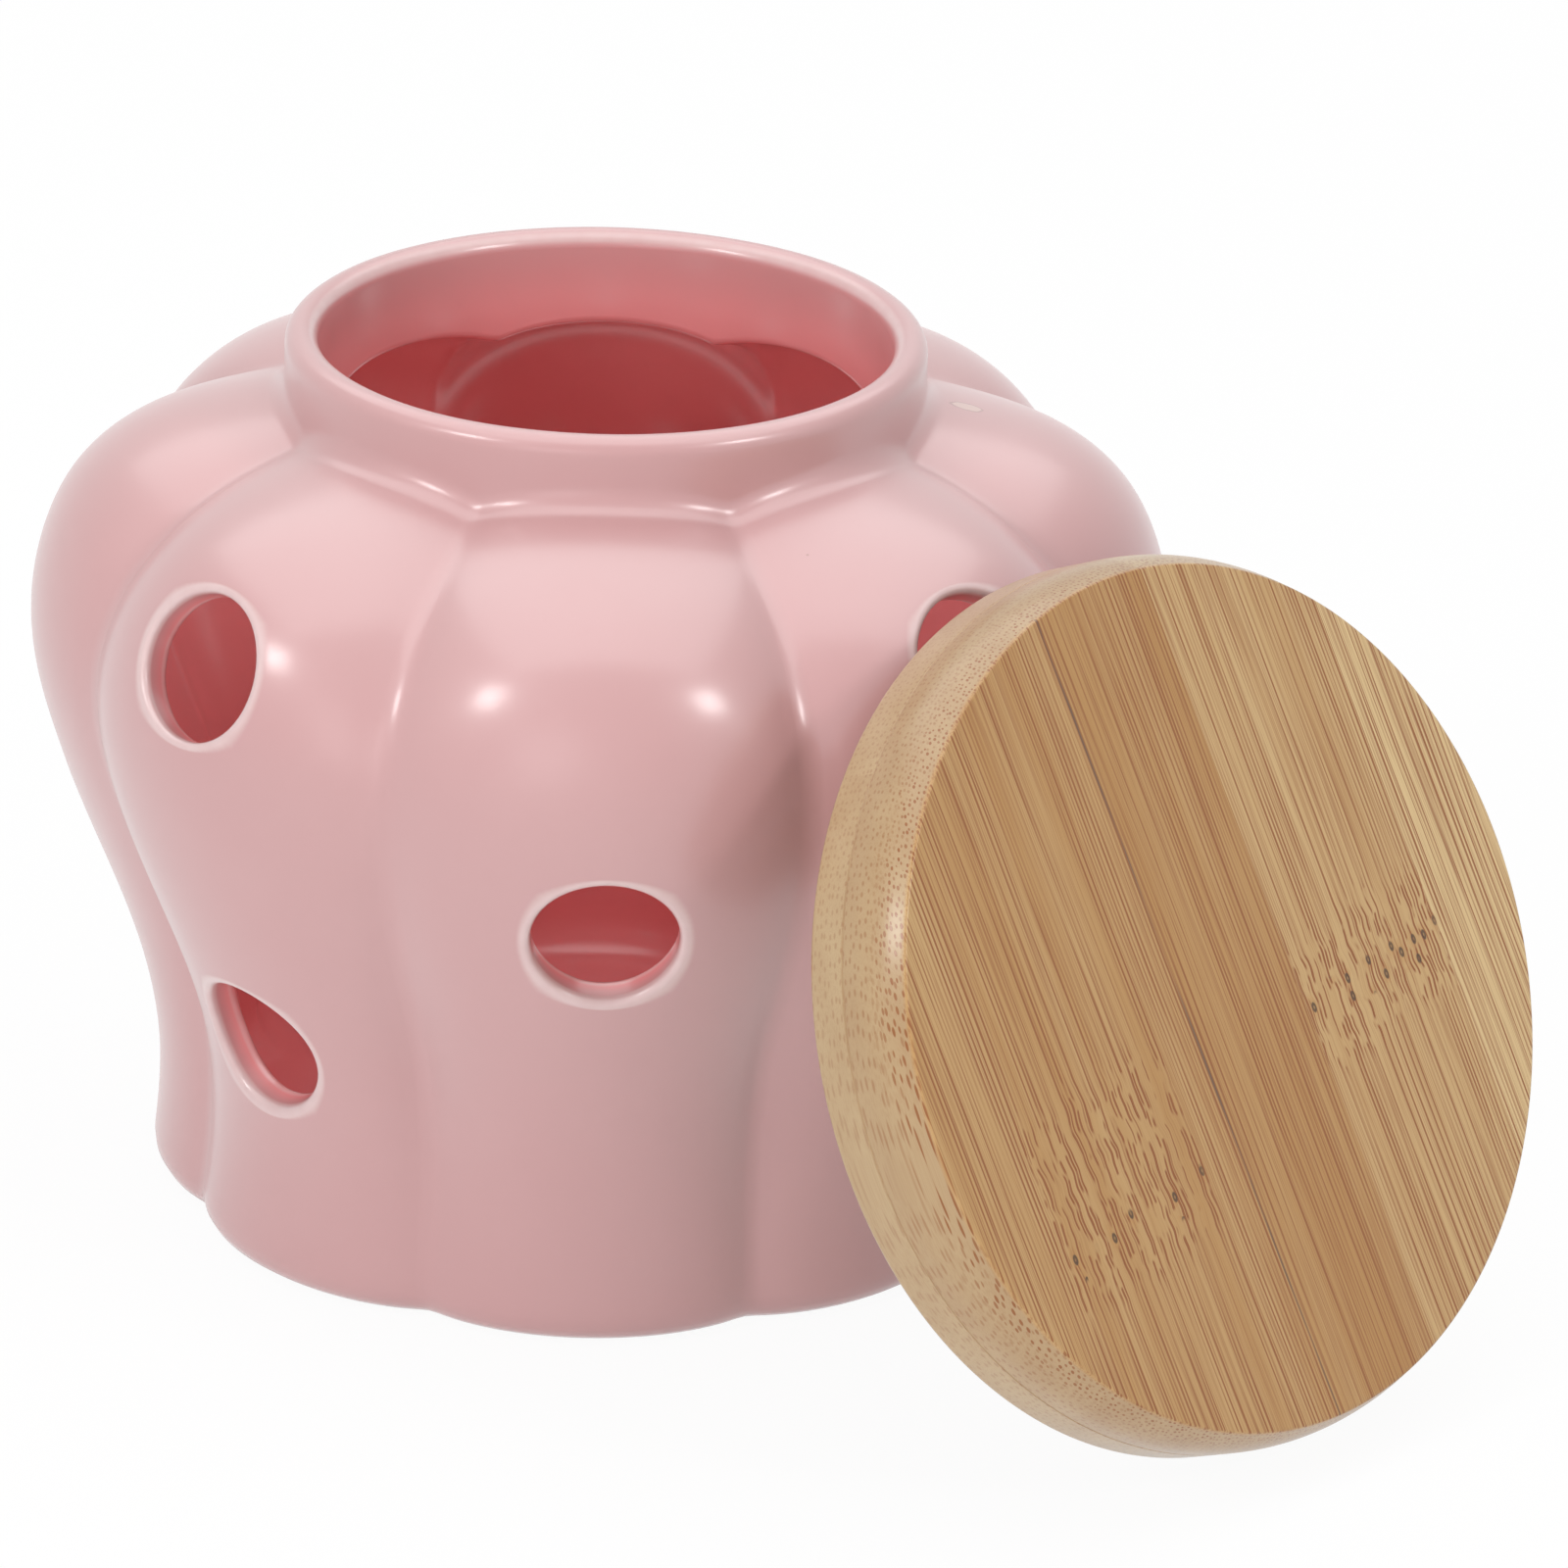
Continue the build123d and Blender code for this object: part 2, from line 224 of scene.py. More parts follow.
class LidSettings(bpy.types.PropertyGroup):
    """Sizes and colours of the bamboo lid and its seal."""

    radius: FloatProperty(name="Radius", description="Radius of the lid", default=49.3 * MM, unit="LENGTH")
    face_radius: FloatProperty(
        name="Face Radius", description="Radius of the flat face", default=47.3 * MM, unit="LENGTH"
    )
    edge_drop: FloatProperty(
        name="Edge Drop", description="How far the rounded side comes down from the face",
        default=6.6 * MM, unit="LENGTH",
    )
    edge_rounding: FloatProperty(
        name="Edge Rounding", description="Rounding of the edge round the face",
        default=0.35 * MM, unit="LENGTH",
    )
    top_ply: FloatProperty(
        name="Top Ply", description="Thickness of the top ply",
        default=8.0 * MM, unit="LENGTH",
    )
    thickness: FloatProperty(
        name="Thickness", description="Thickness of both plies", default=13.4 * MM, unit="LENGTH"
    )
    arris: FloatProperty(
        name="Arris", description="Rounding of the lower edge",
        default=0.8 * MM, unit="LENGTH",
    )
    ply_arris: FloatProperty(
        name="Ply Arris", description="Wear along the joint between the plies",
        default=0.12 * MM, unit="LENGTH",
    )
    plug_radius: FloatProperty(
        name="Plug Radius", description="Radius of the plug under the lid", default=31.1 * MM, unit="LENGTH"
    )
    plug_depth: FloatProperty(
        name="Plug Depth", description="Depth of the plug under the lid", default=4.0 * MM, unit="LENGTH"
    )
    plug_arris: FloatProperty(
        name="Plug Arris", description="Bevel of the plug's end", default=0.5 * MM, unit="LENGTH"
    )
    groove_width: FloatProperty(
        name="Groove Width", description="Width of the seal's groove", default=2.0 * MM, unit="LENGTH"
    )
    groove_depth: FloatProperty(
        name="Groove Depth", description="Depth of the seal's groove", default=1.6 * MM, unit="LENGTH"
    )
    seal_radius: FloatProperty(
        name="Seal Radius", description="Outside radius of the seal's bead",
        default=32.3 * MM, unit="LENGTH",
    )
    seal_play: FloatProperty(
        name="Seal Play", description="Room round the seal in its groove", default=0.05 * MM, unit="LENGTH"
    )
    grain_turn: FloatProperty(
        name="Grain Turn", description="Turn of the grain from the lid's upright line",
        default=radians(7.0), subtype="ANGLE",
    )
    pale: FloatVectorProperty(
        name="Pale Bamboo", description="Colour of the palest strips", default=(0.64, 0.455, 0.225),
        subtype="COLOR", size=3,
    )
    brown: FloatVectorProperty(
        name="Brown Bamboo", description="Colour of the brownest strips", default=(0.42, 0.22, 0.068),
        subtype="COLOR", size=3,
    )
    fibre: FloatVectorProperty(
        name="Fibre", description="Colour of the dark fibres", default=(0.26, 0.082, 0.015),
        subtype="COLOR", size=3,
    )
    seal: FloatVectorProperty(
        name="Seal", description="Colour of the soft seal",
        default=(0.8, 0.8, 0.77), subtype="COLOR", size=3,
    )


class StageSettings(bpy.types.PropertyGroup):
    """Where the camera stands, and the light."""

    camera: FloatVectorProperty(
        name="Camera", description="Where the camera stands", default=(0, -929.5 * MM, 437.9 * MM),
        subtype="TRANSLATION", size=3,
    )
    yaw: FloatProperty(
        name="Yaw", description="Turn of the camera to the right",
        default=0.0231, subtype="ANGLE",
    )
    pitch: FloatProperty(
        name="Pitch", description="Tilt of the camera downwards", default=radians(22.78), subtype="ANGLE"
    )
    roll: FloatProperty(
        name="Roll", description="Roll of the camera",
        default=radians(1.65), subtype="ANGLE",
    )
    lens: FloatProperty(
        name="Lens", description="Focal length on a 36 mm sensor",
        default=200.8, unit="CAMERA",
    )
    surround: FloatProperty(
        name="Surround", description="Strength of the light from all round", default=0.28, subtype="FACTOR"
    )
    shadow: FloatProperty(
        name="Shadow", description="How much of its shadow the floor shows", default=0.06, subtype="FACTOR"
    )


class Link:
    """An output of a node. Sums, products and powers with it add Math nodes to its tree."""

    def __init__(self, recipe, node, output=0):
        self.recipe = recipe
        self.node = node
        self.output = node.outputs[output]

    def also(self, output):
        """Another output of the same node."""
        return Link(self.recipe, self.node, output)

    def math(self, operation, *values):
        """A Math node's result."""
        return self.recipe.add("ShaderNodeMath", {"operation": operation}, dict(enumerate(values)))

    def __add__(self, other):
        return self.math("ADD", self, other)

    def __sub__(self, other):
        return self.math("SUBTRACT", self, other)

    def __rsub__(self, other):
        return self.math("SUBTRACT", other, self)

    def __mul__(self, other):
        return self.math("MULTIPLY", self, other)

    def __truediv__(self, other):
        return self.math("DIVIDE", self, other)

    def __pow__(self, other):
        return self.math("POWER", self, other)

    def __abs__(self):
        return self.math("ABSOLUTE", self)

    __radd__ = __add__
    __rmul__ = __mul__

    def rise(self, low, high):
        """0 below one value and 1 above another, and smooth between them."""
        inputs = {"Value": self, "From Min": low, "From Max": high}
        return self.recipe.add("ShaderNodeMapRange", {"interpolation_type": "SMOOTHSTEP"}, inputs)

    def fall(self, low, high):
        """1 below one value and 0 above another, and smooth between them."""
        return 1 - self.rise(low, high)


class Recipe:
    """A node tree that is being written."""

    def __init__(self, tree):
        self.tree = tree

    def add(self, kind, settings=None, inputs=None, output=0):
        """A new node with its settings, and the values or links of its sockets."""
        node = self.tree.nodes.new(kind)
        for name, value in (settings or {}).items():
            setattr(node, name, value)
        for name, value in (inputs or {}).items():
            if isinstance(value, Link):
                self.tree.links.new(value.output, node.inputs[name])
            else:
                node.inputs[name].default_value = value
        return Link(self, node, output)

    def finish(self, geometry):
        """Makes a geometry the tree's output."""
        end = self.tree.nodes.new("NodeGroupOutput")
        self.tree.links.new(geometry.output, end.inputs[0])

    def mix(self, factor, first, second):
        """A colour between two colours."""
        first, second = (colour if isinstance(colour, Link) else (*colour, 1) for colour in (first, second))
        settings = {"data_type": "RGBA", "clamp_factor": True}
        return self.add("ShaderNodeMix", settings, {0: factor, 6: first, 7: second}, output=2)

    def vector(self, x, y, z):
        """A place or direction from its three parts."""
        return self.add("ShaderNodeCombineXYZ", None, {"X": x, "Y": y, "Z": z})

    def noise(self, place, scale, detail=2.0):
        """Smooth noise about 0.5."""
        inputs = {"Vector": place, "Scale": scale, "Detail": detail}
        return self.add("ShaderNodeTexNoise", None, inputs)

    def cells(self, place, scale=1.0, randomness=1.0, dimensions="3D"):
        """The distance to the nearest of many scattered points, and a chance of its own for each point."""
        settings = {"feature": "F1", "voronoi_dimensions": dimensions}
        inputs = {"Vector": place, "Scale": scale, "Randomness": randomness}
        distance = self.add("ShaderNodeTexVoronoi", settings, inputs)
        return distance, self.add("ShaderNodeSeparateColor", None, {0: distance.also("Color")})

    def value(self, name):
        """A value that the mesh keeps for each of its points."""
        return self.add("ShaderNodeAttribute", {"attribute_name": name}, None, "Fac")


def new_material(name, **constants):
    """A material with its recipe and its Principled shader, whose even values are set on its sockets."""
    material = bpy.data.materials.new(name)
    material.use_nodes = True
    shader = material.node_tree.nodes["Principled BSDF"]
    for socket, value in constants.items():
        shader.inputs[socket.replace("_", " ")].default_value = value
    return material, Recipe(material.node_tree), shader


def feed(recipe, shader, **links):
    """Joins links to the shader's sockets."""
    for socket, link in links.items():
        recipe.tree.links.new(link.output, shader.inputs[socket.replace("_", " ")])


def new_group(name, sizes):
    """A Geometry Nodes tree with a geometry and named sizes as inputs, with its recipe and inputs."""
    group = bpy.data.node_groups.new(name, "GeometryNodeTree")
    group.interface.new_socket("Geometry", in_out="INPUT", socket_type="NodeSocketGeometry")
    for label, kind in sizes.items():
        group.interface.new_socket(label, in_out="INPUT", socket_type=kind)
    group.interface.new_socket("Geometry", in_out="OUTPUT", socket_type="NodeSocketGeometry")
    recipe = Recipe(group)
    return group, recipe, recipe.add("NodeGroupInput")


def grow(piece, group, values):
    """Runs a tree on a piece with its inputs set by name, and keeps the result as the piece's plain mesh."""
    growth = piece.modifiers.new(group.name, "NODES")
    growth.node_group = group
    for item in group.interface.items_tree:
        if item.in_out == "INPUT" and item.name in values:
            growth[item.identifier] = values[item.name]
    depsgraph = bpy.context.evaluated_depsgraph_get()
    evaluated = piece.evaluated_get(depsgraph)
    grown = bpy.data.meshes.new_from_object(evaluated, preserve_all_data_layers=True, depsgraph=depsgraph)
    piece.modifiers.remove(growth)
    if not grown.polygons:
        raise RuntimeError(f"{group.name} gave {piece.name} no faces")
    piece.data = grown


def new_piece(name, data):
    """An object in the scene, at the origin."""
    piece = bpy.data.objects.new(name, data)
    bpy.context.scene.collection.objects.link(piece)
    return piece


def add_values(mesh, name, values):
    """Keeps a number for each point of a mesh."""
    attribute = mesh.attributes.new(name, "FLOAT", "POINT")
    attribute.data.foreach_set("value", np.ascontiguousarray(values, np.float32))


def add_vectors(mesh, name, values):
    """Keeps a vector for each point of a mesh."""
    attribute = mesh.attributes.new(name, "FLOAT_VECTOR", "POINT")
    attribute.data.foreach_set("vector", np.ascontiguousarray(values, np.float32).ravel())


def spline_through(places, count):
    """Points on the natural cubic spline through a few places, evenly along their chords."""
    reach = np.concatenate([[0.0], np.cumsum(np.linalg.norm(np.diff(places, axis=0), axis=1))])
    gaps = np.diff(reach)
    rises = np.diff(places, axis=0) / gaps[:, None]
    matrix = np.eye(len(places))
    bends = np.zeros_like(places)
    for i in range(1, len(places) - 1):
        matrix[i, i - 1 : i + 2] = gaps[i - 1], 2 * (gaps[i - 1] + gaps[i]), gaps[i]
        bends[i] = 6 * (rises[i] - rises[i - 1])
    bends = np.linalg.solve(matrix, bends)
    along = np.linspace(0, reach[-1], count)
    span = np.clip(np.searchsorted(reach, along, side="right") - 1, 0, len(gaps) - 1)
    gap = gaps[span][:, None]
    before = (along - reach[span])[:, None]
    after = gap - before
    cubic = (bends[span] * after**3 + bends[span + 1] * before**3) / (6 * gap)
    low = places[span] / gap - bends[span] * gap / 6
    high = places[span + 1] / gap - bends[span + 1] * gap / 6
    return cubic + low * after + high * before


def at(line, indices):
    """Places between a line's points, at fractional indices."""
    steps = np.arange(len(line))
    return np.column_stack([np.interp(indices, steps, column) for column in line.T])


def crossing(values, level):
    """The fractional index at which a row of values crosses a level."""
    i = np.flatnonzero((values[1:] > level) != (values[:-1] > level))[0]
    return i + (level - values[i]) / (values[i + 1] - values[i])


def stretch(rows):
    """Shares of a stretch at each of its fine rows, without its end."""
    return np.arange(rows * FINE) / (rows * FINE)


def straight(start, end, rows):
    """Points on a straight stretch, without its end."""
    return np.array(start) + np.outer(stretch(rows), np.subtract(end, start))


def arc(centre, radius, start, end, rows):
    """Points on an arc between two directions, the short way round, without its end."""
    first, last = atan2(start[1], start[0]), atan2(end[1], end[0])
    swing = (last - first + pi) % (2 * pi) - pi
    angles = first + swing * stretch(rows)
    return np.array(centre) + radius * np.column_stack([np.cos(angles), np.sin(angles)])


def wall_lines(jar, shares):
    """The outer and inner lines of the wall over a ridge or a groove, row by row, as radii and heights."""
    places = np.column_stack([shares * jar.belly_radius, HEIGHT_SHARES * jar.dome_height])
    line = spline_through(places, LINE_POINTS)
    run = np.gradient(line, axis=0)
    normals = np.column_stack([run[:, 1], -run[:, 0]]) / np.linalg.norm(run, axis=1)[:, None]
    inside = line - jar.wall * normals
    neck = jar.mouth_radius + 2 * jar.lip_radius
    neck_top = jar.height - jar.lip_radius
    down, inwards, up = (0, -1), (-1, 0), (0, 1)

    foot = crossing((line - jar.foot_fillet * normals)[:, 1], jar.foot_fillet)
    corner = crossing((inside - jar.floor_corner * normals)[:, 1], jar.floor + jar.floor_corner)
    shoulder = crossing((line + jar.neck_fillet * normals)[:, 0], neck + jar.neck_fillet)
    mouth = crossing((inside + jar.mouth_edge * normals)[:, 0], jar.mouth_radius + jar.mouth_edge)

    def rounding(base, index, radius):
        """The centre of a rounding that touches a line, and the line's normal there."""
        normal = at(normals, [index])[0]
        return at(base, [index])[0] + radius * normal, normal

    wall = corner + (shoulder - corner) * stretch(ROWS["wall"])
    foot_centre, foot_normal = rounding(line, foot, -jar.foot_fillet)
    ring = foot_centre[0] - jar.foot_ring
    low_rows = ROWS["corner"] // 2
    neck_centre, neck_normal = rounding(line, shoulder, jar.neck_fillet)
    lip_centre = (neck - jar.lip_radius, neck_top)
    outer = [
        straight((0, jar.foot_recess), (ring - jar.foot_recess / 2, jar.foot_recess), ROWS["bottom"] - 4),
        straight((ring - jar.foot_recess / 2, jar.foot_recess), (ring, 0), 2),
        straight((ring, 0), (foot_centre[0], 0), 2),
        arc(foot_centre, jar.foot_fillet, down, foot_normal, low_rows),
        at(line, foot + (corner - foot) * stretch(ROWS["corner"] - low_rows)),
        at(line, wall),
        arc(neck_centre, jar.neck_fillet, -neck_normal, inwards, ROWS["shoulder"]),
        straight((neck, neck_centre[1]), (neck, neck_top), ROWS["neck"]),
        arc(lip_centre, jar.lip_radius, (1, 0), up, ROWS["lip"]),
    ]
    corner_centre, corner_normal = rounding(inside, corner, -jar.floor_corner)
    mouth_centre, mouth_normal = rounding(inside, mouth, jar.mouth_edge)
    edge_rows = ROWS["neck"] // 2
    inner = [
        straight((0, jar.floor), (corner_centre[0], jar.floor), ROWS["bottom"]),
        arc(corner_centre, jar.floor_corner, down, corner_normal, ROWS["corner"]),
        at(inside, wall),
        at(inside, shoulder + (mouth - shoulder) * stretch(ROWS["shoulder"])),
        arc(mouth_centre, jar.mouth_edge, -mouth_normal, inwards, edge_rows),
        straight((jar.mouth_radius, mouth_centre[1]), (jar.mouth_radius, neck_top), ROWS["neck"] - edge_rows),
        arc(lip_centre, jar.lip_radius, inwards, up, ROWS["lip"]),
    ]
    top = [(lip_centre[0], jar.height)]
    return np.vstack(outer + [top]), np.vstack(inner + [top])


class WallRule:
    """The rule of the jar's wall: a ridge's lines, a groove's lines, and how the wall swells between them."""

    def __init__(self, jar):
        self.lobes = jar.lobes
        self.softness = jar.groove_softness
        self.power = jar.lobe_power
        self.ridge = wall_lines(jar, RIDGE_SHARES)
        self.groove = wall_lines(jar, RIDGE_SHARES * (1 - GROOVE_SHARES))
        self.rows = sum(ROWS.values())

    def lines_at(self, row, depth):
        """The ridge's and the groove's places at a row, and at a depth from 0 outside to 1 inside."""
        depth = np.asarray(depth)[..., None]
        pairs = [[at(side, np.asarray(row) * FINE) for side in sides] for sides in (self.ridge, self.groove)]
        return [outer + (inner - outer) * depth for outer, inner in pairs]

    def place(self, turn, row, depth):
        """Where the wall is at a turn from the front, a row and a depth."""
        ridge, groove = self.lines_at(row, depth)
        wave = np.cos(self.lobes * turn / 2) ** 2
        low, swell, high = ((level + self.softness**2) ** (self.power / 2) for level in (0, wave, 1))
        share = (swell - low) / (high - low)
        out, up = (groove + (ridge - groove) * share[:, None]).T
        return np.column_stack([out * np.sin(turn), -out * np.cos(turn), up])

    def wall_span(self):
        """Rows up the outer wall, with the ridge's radii and heights there."""
        first = ROWS["bottom"] + ROWS["corner"]
        rows = first + np.arange(ROWS["wall"] * FINE) / FINE
        return rows, *self.lines_at(rows, np.zeros(len(rows)))[0].T

    def vent_frame(self, turn, height, radius):
        """The middle of a vent on its ridge, and the level and the upward direction square to its axis."""
        _, radii, heights = self.wall_span()
        low, middle, high = np.interp((height - radius, height, height + radius), heights, radii)
        axis = np.array((sin(turn), -cos(turn), (low - high) / (2 * radius)))
        across = np.array((cos(turn), sin(turn), 0.0))
        upwards = np.cross(axis, across) / np.linalg.norm(axis)
        return np.array((middle * sin(turn), -middle * cos(turn), height)), across, upwards

    def ring(self, turn, vent, radius, depth, angles):
        """Turns and rows of a ring round a vent's axis, at a depth, found by Newton's method."""
        middle, across, upwards = vent
        goal = radius * np.column_stack([np.cos(angles), np.sin(angles)])
        depths = np.full(len(angles), depth)

        def offsets(turns, rows):
            away = self.place(turns, rows, depths) - middle
            return np.column_stack([away @ across, away @ upwards])

        row_span, _, heights = self.wall_span()
        turns = turn + goal[:, 0] / np.hypot(middle[0], middle[1])
        rows = np.interp(middle[2] + goal[:, 1] * upwards[2], heights, row_span)
        nudge = 1e-3
        for _ in range(SOLVER_STEPS):
            now = offsets(turns, rows)
            by_turn = (offsets(turns + nudge, rows) - now) / nudge
            by_row = (offsets(turns, rows + nudge) - now) / nudge
            miss = goal - now
            scale = by_turn[:, 0] * by_row[:, 1] - by_turn[:, 1] * by_row[:, 0]
            turns = turns + (miss[:, 0] * by_row[:, 1] - miss[:, 1] * by_row[:, 0]) / scale
            rows = rows + (by_turn[:, 0] * miss[:, 1] - by_turn[:, 1] * miss[:, 0]) / scale
        return turns, rows


class WallChart:
    """The wall's mesh as turns, rows and depths, with the holes for its vents."""

    def __init__(self, jar, rule):
        self.jar = jar
        self.rule = rule
        self.pitch = 2 * pi / (jar.lobes * LOBE_COLUMNS)
        self.width = jar.lobes * LOBE_COLUMNS + 1
        columns, rows = np.meshgrid(np.arange(self.width), np.arange(2 * rule.rows + 1))
        self.turns = [(columns.ravel() - LOBE_COLUMNS / 2) * self.pitch]
        self.rows = [np.minimum(rows, 2 * rule.rows - rows).ravel().astype(float)]
        self.depths = [(rows.ravel() > rule.rows).astype(float)]
        self.thin = [self.lip_thinness(rows.ravel())]
        self.inside = [np.clip((rows.ravel() - rule.rows) / ROWS["lip"], 0, 1)]
        self.count = columns.size
        self.faces = []
        self.holes = set()

    def lip_thinness(self, rows):
        """How thin the glaze runs over the inner side of the lip."""
        past_top = rows - self.rule.rows
        away = (past_top - LIP_THIN_SHARE * ROWS["lip"]) / (LIP_THIN_SPREAD * ROWS["lip"])
        return np.exp(-(away**2))

    def point(self, column, row, depth):
        """The number of a grid point."""
        level = 2 * self.rule.rows - row if depth else row
        return int(level * self.width + column)

    def add_ring(self, turns, rows, depth, thin):
        """Adds a ring of points, and gives their numbers."""
        numbers = np.arange(self.count, self.count + len(turns))
        self.turns.append(turns)
        self.rows.append(rows)
        self.depths.append(np.full(len(turns), depth))
        self.inside.append(np.full(len(turns), depth))
        self.thin.append(np.full(len(turns), thin))
        self.count += len(turns)
        return numbers

    def block(self, column, row, depth):
        """The points round a square block of the grid, and takes the block's cells out."""
        reach = VENT_CELLS // 2
        left, right, low, high = column - reach, column + reach, row - reach, row + reach
        side = range(VENT_CELLS)
        corners = [(left + i, low) for i in side] + [(right, low + i) for i in side]
        corners += [(right - i, high) for i in side] + [(left, high - i) for i in side]
        for c in range(left, right):
            for r in range(low, high):
                self.holes.add((c, r, depth))
        return np.array([self.point(c, r, depth) for c, r in corners])

    def cut_vent(self, turn, height):
        """Replaces a block of the outer and of the inner grid by rings that lead through the wall."""
        jar = self.jar
        vent = self.rule.vent_frame(turn, height, jar.vent_radius)
        angles = -0.75 * pi + 2 * pi * np.arange(4 * VENT_CELLS) / (4 * VENT_CELLS)
        edge, bend = jar.vent_edge, np.linspace(0, pi / 2, VENT_EDGE_RINGS)
        radii = jar.vent_radius + edge * (1 - np.sin(bend))
        depths = edge * (1 - np.cos(bend)) / jar.wall
        tunnel = np.linspace(depths[-1], 1 - depths[-1], VENT_TUNNEL_RINGS + 2)[1:-1]
        course = list(zip(radii, depths))
        course += [(jar.vent_radius, depth) for depth in tunnel]
        course += list(zip(radii[::-1], 1 - depths[::-1]))
        rings = [self.rule.ring(turn, vent, radius, depth, angles) for radius, depth in course]

        column = round(turn / self.pitch + LOBE_COLUMNS / 2)
        row = round(np.mean(rings[0][1]))
        loops = []
        blend = np.arange(1, VENT_BLEND_RINGS + 1) / (VENT_BLEND_RINGS + 1)
        for side, shares in ((0, blend), (1, blend[::-1])):
            border = self.block(column, row, side)
            first_turns, first_rows = self.turns[0][border], self.rows[0][border]
            turns, rows = rings[-side]
            steps = []
            for share in shares:
                away = (1 - share) * VENT_BLEND_RINGS
                steps.append(
                    self.add_ring(
                        first_turns + (turns - first_turns) * share,
                        first_rows + (rows - first_rows) * share,
                        float(side),
                        np.exp(-away),
                    )
                )
            loops.append([border, *steps] if side == 0 else [*steps, border])
        middle = [
            self.add_ring(turns, rows, depth, np.exp(-(max(0.0, min(depth, 1 - depth) - depths[-1]) * 6)))
            for (turns, rows), (_, depth) in zip(rings, course)
        ]
        loops = loops[0] + middle + loops[1]
        for outer, inner in zip(loops, loops[1:]):
            ahead, beyond = np.roll(outer, -1), np.roll(inner, -1)
            self.faces.extend(zip(outer.tolist(), ahead.tolist(), beyond.tolist(), inner.tolist()))

    def mesh(self):
        """The chart as a mesh, with what the wall's tree needs at each point."""
        for row in range(self.rule.rows):
            for column in range(self.width - 1):
                for depth in (0, 1):
                    if (column, row, depth) not in self.holes:
                        a, b = self.point(column, row, depth), self.point(column + 1, row, depth)
                        c, d = self.point(column + 1, row + 1, depth), self.point(column, row + 1, depth)
                        self.faces.append((a, b, c, d) if depth == 0 else (d, c, b, a))
        fields = (self.turns, self.rows, self.depths, self.thin, self.inside)
        turns, rows, depths, thin, inside = (np.concatenate(field) for field in fields)
        mesh = bpy.data.meshes.new("jar_wall")
        mesh.from_pydata(np.column_stack([turns, rows, depths]).tolist(), [], self.faces)
        ridge, groove = self.rule.lines_at(rows, depths)
        zeros = np.zeros(len(turns))
        add_values(mesh, "turn", turns)
        add_values(mesh, "thin", thin)
        add_values(mesh, "inside", inside)
        add_vectors(mesh, "ridge", np.column_stack([ridge, zeros]))
        add_vectors(mesh, "groove", np.column_stack([groove, zeros]))
        used = np.zeros(len(turns), bool)
        used[np.unique([number for face in self.faces for number in face])] = True
        work = bmesh.new()
        work.from_mesh(mesh)
        work.verts.ensure_lookup_table()
        loose = [work.verts[i] for i in np.flatnonzero(~used)]
        bmesh.ops.delete(work, geom=loose, context="VERTS")
        work.to_mesh(mesh)
        work.free()
        return mesh


def wall_group():
    """The tree that bends the chart round the jar and swells the wall between grooves and ridges."""
    sizes = {
        "Lobes": "NodeSocketInt",
        "Groove Softness": "NodeSocketFloat",
        "Lobe Power": "NodeSocketFloat",
        "Unevenness": "NodeSocketFloat",
        "Material": "NodeSocketMaterial",
    }
    group, recipe, given = new_group("Lobed Wall", sizes)
    attribute = "GeometryNodeInputNamedAttribute"
    lobes, soft, power = given.also("Lobes"), given.also("Groove Softness"), given.also("Lobe Power")
    turn = recipe.add(attribute, {"data_type": "FLOAT"}, {"Name": "turn"})
    ridge = recipe.add(attribute, {"data_type": "FLOAT_VECTOR"}, {"Name": "ridge"})
    groove = recipe.add(attribute, {"data_type": "FLOAT_VECTOR"}, {"Name": "groove"})
    cosine = turn.math("COSINE", lobes * turn / 2)
    low, swell, high = ((soft * soft + level) ** (power / 2) for level in (0, cosine * cosine, 1))
    share = (swell - low) / (high - low)
    between = recipe.add("ShaderNodeMix", {"data_type": "VECTOR"}, {0: share, 4: groove, 5: ridge}, output=1)
    parts = recipe.add("ShaderNodeSeparateXYZ", None, {0: between})
    out, up = parts, parts.also("Y")
    place = recipe.vector(out * turn.math("SINE", turn), 0 - out * turn.math("COSINE", turn), up)
    wall = recipe.add("GeometryNodeSetPosition", None, {"Geometry": given, "Position": place})
    wall = recipe.add("GeometryNodeMergeByDistance", None, {"Geometry": wall, "Distance": 0.01 * MM})

    here = recipe.add("GeometryNodeInputPosition")
    normal = recipe.add("GeometryNodeInputNormal")
    amount = (recipe.noise(here, 28.0, 1.0) - 0.5) * given.also("Unevenness") * up.rise(1 * MM, 8 * MM)
    nudge = recipe.add("ShaderNodeVectorMath", {"operation": "SCALE"}, {0: normal, "Scale": amount})
    wall = recipe.add("GeometryNodeSetPosition", None, {"Geometry": wall, "Offset": nudge})
    wall = recipe.add("GeometryNodeSetShadeSmooth", None, {"Geometry": wall})
    wall = recipe.add("GeometryNodeRealizeInstances", None, {"Geometry": wall})
    wall = recipe.add("GeometryNodeSetMaterial", None, {"Geometry": wall, "Material": given.also("Material")})
    recipe.finish(wall)
    return group


